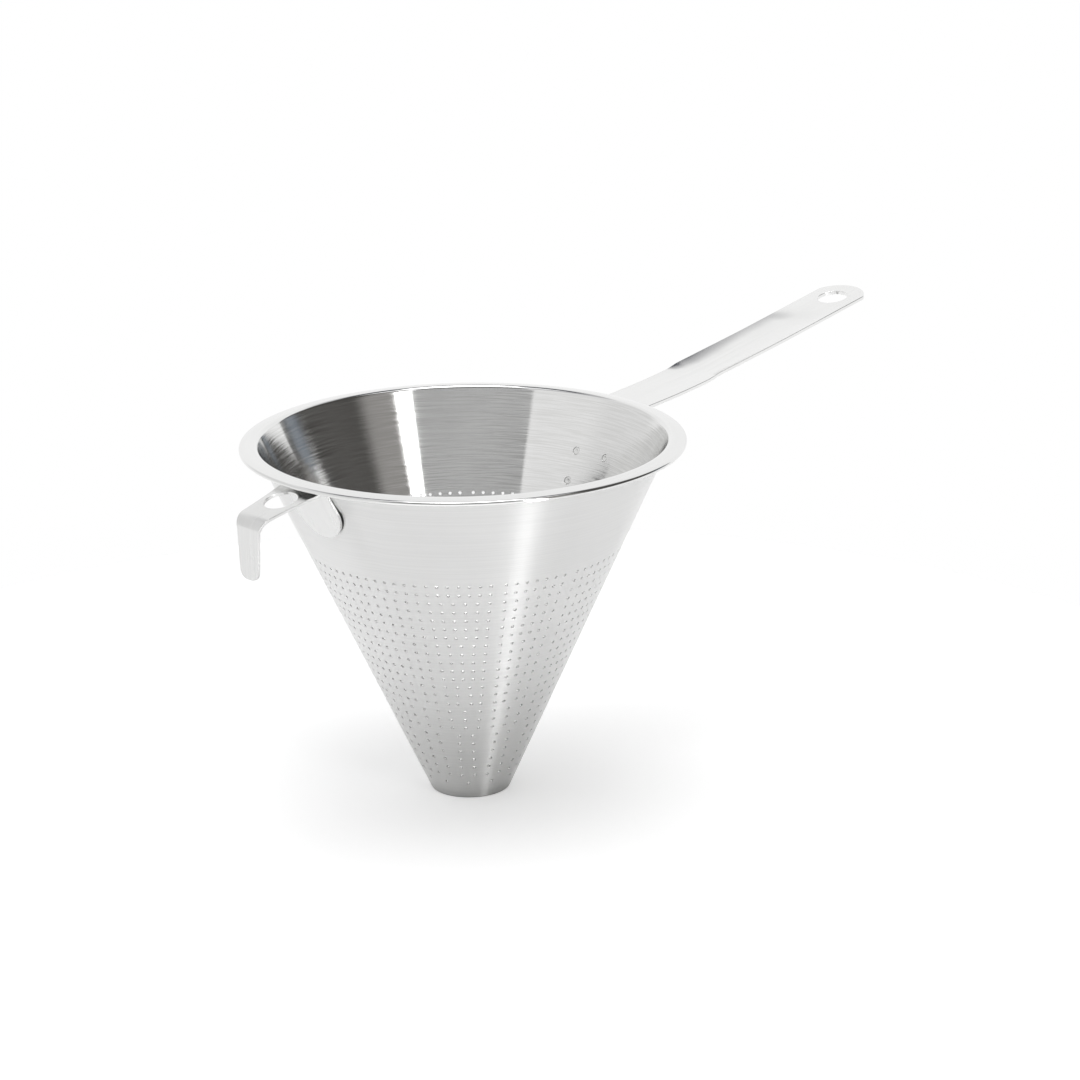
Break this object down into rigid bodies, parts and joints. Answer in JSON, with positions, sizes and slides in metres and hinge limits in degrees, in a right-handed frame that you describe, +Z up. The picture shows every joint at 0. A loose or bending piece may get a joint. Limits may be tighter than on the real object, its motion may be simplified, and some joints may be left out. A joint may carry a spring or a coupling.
{
  "type": "chinois strainer",
  "caption": "Conical sheet-metal strainer with a small flat base, a perforated wall, a rolled lip, a long strap handle and a pan hook.",
  "frame": {"origin": "centre of the flat base, on the surface that the strainer stands on", "axes": "+Z up along the bowl's axis, +X from the axis towards the handle, the hook on -X"},
  "size_m": [0.3526, 0.18, 0.1706],
  "materials": {
    "bowl": "fine circumferential brushing",
    "handle": "polished",
    "hook": "polished",
    "welds": "pressed matt"
  },
  "bodies": {
    "root": {"bowl": "bowl", "handle": "handle", "hook": "hook", "handle_spot_welds": "welds", "hook_spot_welds": "welds"}
  },
  "joints": []
}
